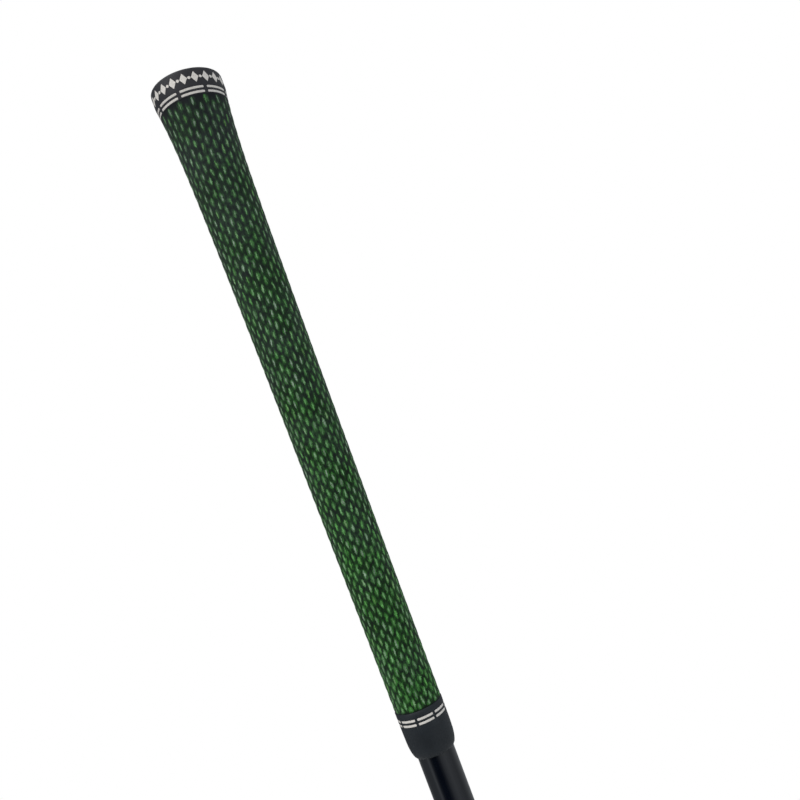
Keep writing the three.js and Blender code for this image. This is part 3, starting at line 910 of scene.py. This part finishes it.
def disc(node, material):
    """A weight disc. Grooves round its rim, one, two or three, tell the sizes apart."""
    low, high = heights(node)
    radius = reach(node)
    width, floor, depth = RIM_GROOVE
    rim = [(radius - DISC_CHAMFER, low), (radius, low + DISC_CHAMFER)]
    for i in range(RIM_MARKS[node]):
        z = (low + high) / 2 + (i - (RIM_MARKS[node] - 1) / 2) * RIM_PITCH
        rim += [(radius, z - width / 2), (radius - depth, z - floor / 2)]
        rim += [(radius - depth, z + floor / 2), (radius, z + width / 2)]
    rim += [(radius, high - DISC_CHAMFER), (radius - DISC_CHAMFER, high)]
    bore = [(DISC_BORE, z, BORE_EDGE) for z in (low, high)]
    corners = [bore[0], *[(r, z, EDGE_BREAK) for r, z in rim], bore[1]]
    stand_for(lathe(node.replace("weight", "disc"), rounded(corners), material, sharp=30), node)


def flute_relief(phi, radius, z):
    """The knob's flutes, as a relief for lathe(): round-bottomed, with their edges eased."""
    axis = KNOB_RADIUS + FLUTE_RADIUS - FLUTE_DEPTH
    step = 2 * math.pi / FLUTES
    off = (phi + step / 2) % step - step / 2
    inside = np.maximum(FLUTE_RADIUS**2 - (axis * np.sin(off)) ** 2, 0)
    beyond = np.maximum(np.abs(axis * np.sin(off)) - FLUTE_RADIUS, 0)
    limit = axis * np.cos(off) - np.sqrt(inside) + FLUTE_RUNOUT * beyond
    share = np.clip(0.5 + (limit - radius) / (2 * FLUTE_BLEND), 0, 1)
    return limit + (radius - limit) * share - FLUTE_BLEND * share * (1 - share) - radius


def lock_knob(material):
    low, high = heights("lock_knob")
    seat, seat_depth = LOCK_RING
    recess, roof = PEG[0] + PIECE_GAP, low + PEG[1] + PIECE_GAP
    cut = KNOB_FOOT_CHAMFER
    chamfer = np.linspace((KNOB_RADIUS - cut, low), (KNOB_RADIUS, low + cut), 14)
    corners = [
        (0, roof, 0), (recess, roof, 0), (recess, low, BORE_EDGE),
        (*chamfer[0], EDGE_BREAK), *[(r, z, 0) for r, z in chamfer[1:-1]], (*chamfer[-1], EDGE_BREAK),
        (KNOB_RADIUS, high - DISC_CHAMFER, TURNED_EDGE), (KNOB_RADIUS - DISC_CHAMFER, high, TURNED_EDGE),
        (seat, high, TURNED_EDGE), (seat, high - seat_depth, 0), (STUD_BORE, high - seat_depth, 0),
        (STUD_BORE, roof + KNOB_WEB, 0), (0, roof + KNOB_WEB, 0),
    ]
    outline = rounded(corners)
    knob = lathe("fluted_nut", outline, material, sides=FINE_SIDES, relief=flute_relief, sharp=50)
    stand_for(knob, "lock_knob")


def bumper(material):
    """The rubber foot: ring grooves in its tread, and its peg up into the knob."""
    low, high = heights("tip_bumper")
    radius = reach("tip_bumper")
    top = high - PEG[1]
    shoulder = BUMPER_SHOULDER
    width, depth = TREAD["width"], TREAD["depth"]
    tread = []
    for r in TREAD["radii"]:
        tread += [(r - width / 2, low), (r - width / 4, low + depth)]
        tread += [(r + width / 4, low + depth), (r + width / 2, low)]
    profile = [
        (0, low),
        *tread,
        *quarter((radius - BUMPER_ROUND, low), (radius, low + BUMPER_ROUND), outward=True),
        *quarter((radius, top - shoulder), (radius - shoulder, top), outward=False, steps=5),
        (PEG[0], top),
        *quarter((PEG[0], high - PEG_ROUND), (PEG[0] - PEG_ROUND, high), outward=False, steps=5),
        (0, high),
    ]
    stand_for(lathe("foot", profile, material), "tip_bumper")


def build_head():
    steel = turned_metal("turned_steel", (0.33, 0.335, 0.345), (0.52, 0.52, 0.525), (0.22, 0.38), 0.012)
    grey = turned_metal(
        "grey_anodised", (0.045, 0.047, 0.055), (0.075, 0.078, 0.088), (0.34, 0.46), 0.006,
    )
    green = turned_metal("green_anodised", (0.022, 0.165, 0.03), (0.04, 0.24, 0.05), (0.22, 0.34), 0.006)
    black_rubber = rubber("washer_rubber", (0.014, 0.014, 0.015), (0.024, 0.024, 0.026), (0.6, 0.78))
    ferrule(polished_plastic("black_plastic", (0.004, 0.004, 0.005), (0.008, 0.008, 0.009)))
    trim = polished_plastic("green_plastic", (0.04, 0.23, 0.035), (0.055, 0.29, 0.05))
    sleeve("trim_ring", "ferrule_trim", SHAFT_TIP + PIECE_GAP, NECK_RADIUS, trim, cut=0.15)
    stud_pin(steel)
    pin_height = (heights("stud_pin")[0] + heights("stud_pin")[1]) / 2
    drilled(hosel(grey), PIN_HOLE, pin_height)
    drilled(stud(steel), PIN_HOLE, pin_height)
    sleeve("seat_pad", "seat_washer", DISC_BORE, reach("seat_washer"), black_rubber)
    sleeve("clamp_pad", "clamp_washer", DISC_BORE, reach("clamp_washer"), black_rubber)
    for node in RIM_MARKS:
        disc(node, steel)
    lock_knob(green)
    sleeve("nylon_ring", "lock_ring", STUD_BORE, LOCK_RING[0] - PIECE_GAP, nylon(), cut=0.1)
    bumper(rubber("bumper_rubber", (0.017, 0.017, 0.018), (0.03, 0.03, 0.032), (0.6, 0.8)))


# ---- Stage ----------------------------------------------------------------------------------------
# What the stick mirrors, as (azimuth from the front in degrees, brightness from 0 to 1): strips of
# light to both sides, with a dark gap in front, from straight ahead round to the left. It is dark below.
STUDIO = [
    (-180, 0.22), (-116, 0.26), (-95, 0.4), (-78, 0.5), (-64, 0.95), (-50, 0.16), (-37, 0.03),
    (-14, 0.03), (0, 0.22), (12, 0.57), (24, 0.74), (37, 0.88), (50, 0.76), (66, 0.64), (80, 0.5),
    (115, 0.55), (180, 0.22),
]
STUDIO_TINT = (0.90, 0.955, 1.0)
STUDIO_STRENGTH = 1.08
# What is left of it below: least where a direction's z is From_Min, and all of it from From_Max up
STUDIO_DUSK = {"From_Min": -0.8, "From_Max": -0.35, "To_Min": 0.1}
KEY_LIGHT = {"way": (0.62, 0.75, -1.15), "strength": 2.1, "softness": math.radians(50)}
FLOOR = {"height": -12, "radius": 1400, "thickness": 10}
CAMERA = {
    "lens": 36.9, "place": (0, -315.3, TOP - 159),
    "right": (0.9303, -0.0856, -0.3565), "ahead": (0.1092, 0.9929, 0.0464),
}


def build_world():
    """White to the camera; to everything else, the studio."""
    world = bpy.data.worlds.new("studio")
    bpy.context.scene.world = world
    world.use_nodes = True
    world.node_tree.nodes.clear()
    w = Nodes(world.node_tree)
    ways = w.node("ShaderNodeSeparateXYZ", Vector=w.node("ShaderNodeTexCoord").outputs["Generated"])
    dusk = w.node("ShaderNodeMapRange", Value=ways.outputs["Z"], **STUDIO_DUSK)
    azimuth = w.math("ARCTAN2", ways.outputs["X"], w.math("MULTIPLY", ways.outputs["Y"], -1.0))
    share = w.math("ADD", w.math("DIVIDE", azimuth, 2 * math.pi), 0.5)
    stops = [((angle + 180) / 360, tuple(level * part for part in STUDIO_TINT))
             for angle, level in STUDIO]
    strength = w.math("MULTIPLY", dusk.outputs[0], STUDIO_STRENGTH)
    studio = w.node("ShaderNodeBackground", Color=w.ramp(share, stops), Strength=strength)
    white = w.node("ShaderNodeBackground", Color=(1.0, 1.0, 1.0), Strength=1.0)
    pick = w.node("ShaderNodeMixShader", Fac=w.node("ShaderNodeLightPath").outputs["Is Camera Ray"])
    w.feed(pick.inputs[1], studio.outputs[0])
    w.feed(pick.inputs[2], white.outputs[0])
    w.node("ShaderNodeOutputWorld", Surface=pick.outputs[0])


def build_light():
    """A large soft light, high up on the left, that only the stick's own roundness shades."""
    data = bpy.data.lights.new("key", "SUN")
    data.angle = KEY_LIGHT["softness"]
    data.energy = KEY_LIGHT["strength"]
    key = bpy.data.objects.new("key", data)
    bpy.context.scene.collection.objects.link(key)
    key.rotation_euler = Vector(KEY_LIGHT["way"]).to_track_quat("-Z", "Y").to_euler()


def build_floor():
    """A plain pale floor under the stick, low enough to clear the knob when it is screwed down."""
    s = Shader("floor_paint", Roughness=0.7)
    pale = s.done(Base_Color=s.ramp(s.noise(60, 3), [(0.3, 0.80), (0.7, 0.83)]))
    radius, high = FLOOR["radius"], FLOOR["height"]
    low = high - FLOOR["thickness"]
    floor = lathe("floor", [(0, low), (radius, low), (radius, high), (0, high)], pale)
    floor.visible_diffuse = False


def build_camera():
    """Close to the grip, turned a little to the right and up, and rolled."""
    data = bpy.data.cameras.new("camera")
    data.lens = CAMERA["lens"]
    data.sensor_width = 36
    camera = bpy.data.objects.new("camera", data)
    bpy.context.scene.collection.objects.link(camera)
    right, ahead = (Vector(CAMERA[way]).normalized() for way in ("right", "ahead"))
    turn = Matrix((right, right.cross(ahead), -ahead)).transposed()
    camera.matrix_world = Matrix.Translation(Vector(CAMERA["place"]) * MM) @ turn.to_4x4()
    bpy.context.scene.camera = camera


build_camera()
build_world()
build_light()
build_floor()
build_grip()
build_shaft()
build_head()
bpy.context.scene.view_settings.view_transform = "Standard"
